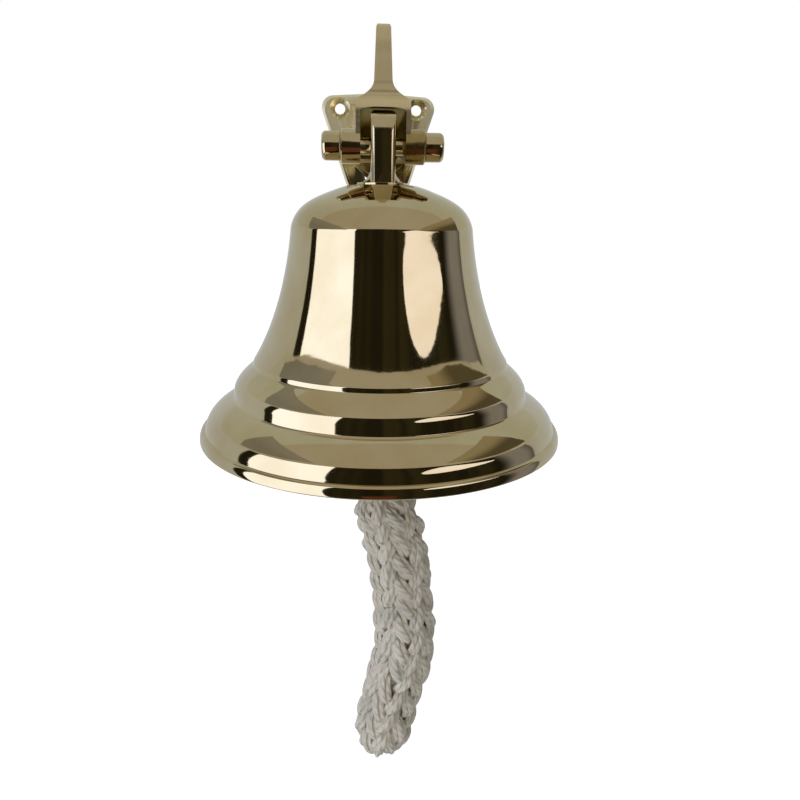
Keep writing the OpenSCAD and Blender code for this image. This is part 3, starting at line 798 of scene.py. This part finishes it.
# Gathered strands of the neck, which open out under the first stitches
NECK_STRANDS = 18
neck_strand_r = 1.15 * MM
neck_from, neck_step = 0.6, 2.3
for i in range(NECK_STRANDS):
    turn = 2 * math.pi * i / NECK_STRANDS
    line = []
    for k in range(12):
        at, along, side, swell = on_rope((neck_from + neck_step * k) * MM)
        out = (5.6 + 3.6 * max(0, (k - 6) / 5)**2) * MM
        line.append(round_rope(at, side, turn, out))
    rope.add(line, [neck_strand_r] * len(line), 8, draw.uniform(0, 10) * MM)
# Whipping: twine wound tightly round the neck
whip_turns = 11
turn_points = 18
whip_points = whip_turns * turn_points
whip_from, whip_rise = 1.8 * MM, 15.2 * MM
whip_out = rope_r * 0.56 - 0.75 * MM
twine_r = 0.74 * MM
whip_line = []
for i in range(whip_points + 1):
    at, along, side, swell = on_rope(whip_from + i / whip_points * whip_rise)
    whip_line.append(round_rope(at, side, 2 * math.pi * i / turn_points, whip_out))
rope.add(whip_line, [twine_r] * len(whip_line), 8)
lanyard = rope.mesh("lanyard")
finished(lanyard, "lanyard", "rope_lanyard", cotton("natural_cotton", (0.86, 0.80, 0.64)))

# Studio
# The bell is taken in a light tent: white cloth all round it, open in front to a dark room
# with a tall window on its left and a soft lamp on its right. The floor is plain and pale.
bpy.context.scene.view_settings.view_transform = "Standard"
TENT = (0.57, 0.60, 0.62)
WHITE = (1, 1, 1)

# The camera stands a little left of the bell's middle and close to it, and looks down on its steps.
camera_place = (-0.0081, -0.3808, -0.0435)
look_down = 15.93
look_right = 3.25
roll = 0.95
lens = 31.5
bpy.ops.object.camera_add(location=camera_place)
camera = bpy.context.object
camera.name = "camera"
camera.data.lens = lens
facing = Euler((math.radians(90 - look_down), 0, math.radians(-look_right))).to_quaternion()
camera.rotation_mode = "QUATERNION"
camera.rotation_quaternion = facing @ Quaternion((0, 0, 1), math.radians(roll))
bpy.context.scene.camera = camera


def between(tree, value, low, high, soft):
    """1 where value is from low to high, with a soft edge; 0 outside."""
    rise = faded(tree, value, low - soft / 2, low + soft / 2, 0, 1)
    fall = faded(tree, value, high - soft / 2, high + soft / 2, 1, 0)
    return maths(tree, "MULTIPLY", rise, fall)


def laid_over(tree, under, colour, mask):
    """Colour laid over what is under it, where the mask is 1."""
    layers = {"Factor": mask, "A": under, "B": colour}
    return node(tree, "Mix", layers, data_type="RGBA").outputs["Result"]


def lit_cloth(name, near, far=None, axis="X", low=0.0, high=0.0, soft=0.0):
    """Cloth that only glows: near, or far where its place along an axis is from low to high."""
    made = bpy.data.materials.new(name)
    made.use_nodes = True
    tree = made.node_tree
    tree.nodes.clear()
    light = near
    if far:
        split = node(tree, "SeparateXYZ", {0: node(tree, "TexCoord", {}).outputs["Object"]})
        light = laid_over(tree, near, far, between(tree, split.outputs[axis], low, high, soft))
    glow = node(tree, "Emission", {"Color": light})
    node(tree, "OutputMaterial", {0: glow.outputs[0]})
    return made


def hung(cloth, material, brass_shows_it=True):
    """Hangs a cloth in the studio, out of the camera's sight."""
    cloth.data.materials.append(material)
    cloth.visible_camera = False
    cloth.visible_glossy = brass_shows_it


def outlined(name, points):
    """A flat cloth with the given outline."""
    cloth = drawn(name, points)
    bpy.ops.mesh.edge_face_add()
    bpy.ops.object.mode_set(mode="OBJECT")
    return cloth


# Ceiling of the tent. Its front edge bounds the dark opening above, and over the bell it is lit
# a little less than over the wall.
ceiling_z = 0.091
half_edge = bezier((0, -0.363), (0.2, -0.363), (0.4, -0.262), (0.5, -0.1), 12)
half_edge += [(0.61, 0.03), (0.61, 0.45)]
ceiling_edge = half_edge + [(-x, y) for x, y in reversed(half_edge[1:])]
ceiling = outlined("tent_ceiling", [Vector((x, y, ceiling_z)) for x, y in ceiling_edge])
hung(ceiling, lit_cloth("tent_cloth", (0.535, 0.56, 0.52), (0.49, 0.46, 0.40), "Y", -0.9, -0.09, 0.012))

# The cloth hangs lower on both sides. Less light reaches it there, least of all far on the right.
side_z = 0.035
left_edge = [(-0.15, -0.26), (-0.235, -0.215), (-0.34, -0.125), (-0.4, -0.03), (-0.28, -0.03),
             (-0.15, -0.05)]
right_edge = [(0.14, -0.26), (0.235, -0.225), (0.31, -0.165), (0.38, -0.05), (0.41, 0.02),
              (0.28, -0.02), (0.14, -0.05)]
left_side = outlined("tent_left_side", [Vector((x, y, side_z)) for x, y in left_edge])
hung(left_side, lit_cloth("left_cloth", (0.31, 0.31, 0.29), (0.27, 0.27, 0.27), "X", -2, -0.2, 0.08))
right_side = outlined("tent_right_side", [Vector((x, y, side_z)) for x, y in right_edge])
hung(right_side, lit_cloth("right_cloth", (0.36, 0.31, 0.21), (0.12, 0.1, 0.065), "X", 0.2, 2, 0.08))

# Soft lamp right of the camera: a low wide cloth that rises to a blunt top
lamp_turn = math.radians(49)
lamp_middle = Vector((0.262, -0.321, -0.068))
lamp_across = Vector((math.cos(lamp_turn), math.sin(lamp_turn), 0))
lamp_top, lamp_right, lamp_bottom, lamp_left = (-72, 170), (132, 78), (-10, 58), (-174, 98)
lamp_edge = bezier(lamp_top, (-20, 170), (30, 105), lamp_right, 10)[:-1]
lamp_edge += bezier(lamp_right, (140, 62), (60, 58), lamp_bottom, 10)[:-1]
lamp_edge += bezier(lamp_bottom, (-80, 58), (-174, 62), lamp_left, 10)[:-1]
lamp_edge += bezier(lamp_left, (-174, 135), (-112, 172), lamp_top, 10)[:-1]
lamp = outlined("soft_lamp", [lamp_middle + (lamp_across * u + upright * v) * MM for u, v in lamp_edge])
hung(lamp, lit_cloth("lamp_cloth", (1.47, 1.42, 1.60)))

# Fill cloth in front, which lights the rope. Polished brass doesn't show it.
fill_width = 0.9
fill_middle = (-0.15, -0.85, -0.1)
bpy.ops.object.select_all(action="DESELECT")
bpy.ops.mesh.primitive_plane_add(size=fill_width, location=(0, 0, 0))
fill = bpy.context.object
fill.name = "fill_cloth"
bpy.ops.object.mode_set(mode="EDIT")
bpy.ops.transform.rotate(value=math.radians(-90), orient_axis="X", center_override=(0, 0, 0))
bpy.ops.transform.translate(value=fill_middle)
bpy.ops.object.mode_set(mode="OBJECT")
hung(fill, lit_cloth("fill_cloth", (0.8, 0.8, 0.78)), brass_shows_it=False)

# Floor of pale paper, a little below the rope. The camera sees it as light as the cloth behind.
floor_width = 6
floor_z = cad_box[0].z - 0.12
paper_lift = 0.62
bpy.ops.mesh.primitive_plane_add(size=floor_width, location=(0, 0, floor_z))
floor = bpy.context.object
floor.name = "floor"
paper = bpy.data.materials.new("pale_paper")
paper.use_nodes = True
tree = paper.node_tree
tree.nodes.clear()
matt = node(tree, "BsdfDiffuse", {"Color": (0.9, 0.9, 0.9)})
seen = node(tree, "LightPath", {}).outputs["Is Camera Ray"]
lift = node(tree, "Emission", {"Strength": maths(tree, "MULTIPLY", seen, paper_lift)})
both = node(tree, "AddShader", {0: matt.outputs[0], 1: lift.outputs[0]})
node(tree, "OutputMaterial", {0: both.outputs[0]})
floor.data.materials.append(paper)
floor.visible_glossy = False

# All that stands farther off is the world: places are degrees to the right of straight out from
# the wall, and degrees upward.
world = bpy.data.worlds.new("tent_and_room")
bpy.context.scene.world = world
world.use_nodes = True
tree = world.node_tree
tree.nodes.clear()
toward = node(tree, "SeparateXYZ", {0: node(tree, "TexCoord", {}).outputs["Generated"]}).outputs
to_right = maths(tree, "ARCTAN2", toward["X"], maths(tree, "MULTIPLY", toward["Y"], -1))
to_right = maths(tree, "MULTIPLY", to_right, 180 / math.pi)
upward = maths(tree, "MULTIPLY", maths(tree, "ARCSINE", toward["Z"]), 180 / math.pi)


def patch(left, right, edge, low, high, low_edge):
    """1 in a patch of the surroundings between four angles, with soft edges; 0 outside."""
    return maths(tree, "MULTIPLY", between(tree, to_right, left, right, edge),
                 between(tree, upward, low, high, low_edge))


streaks = node(tree, "TexNoise", {"W": to_right, "Scale": 0.07, "Detail": 1.5}, noise_dimensions="1D")
dark_room, furniture = (0.018, 0.016, 0.009), (0.036, 0.031, 0.014)
room = laid_over(tree, dark_room, furniture, between(tree, streaks.outputs["Fac"], 0.53, 2, 0.25))
light = laid_over(tree, TENT, room, patch(-97, 109, 2, -66, 60, 3))
curtain = (0.29, 0.285, 0.33)
light = laid_over(tree, light, curtain, patch(84, 107, 14, -60, 60, 3))
warm_wood = (0.14, 0.045, 0.022)
light = laid_over(tree, light, warm_wood, patch(-12, 8, 4, -50, -14, 6))
window = (1.74, 1.87, 2.36)
light = laid_over(tree, light, window, patch(-88, -34.5, 1, -50, 60, 3))
seen = node(tree, "LightPath", {}).outputs["Is Camera Ray"]
shine = node(tree, "Background", {"Color": laid_over(tree, light, WHITE, seen)})
node(tree, "OutputWorld", {0: shine.outputs[0]})
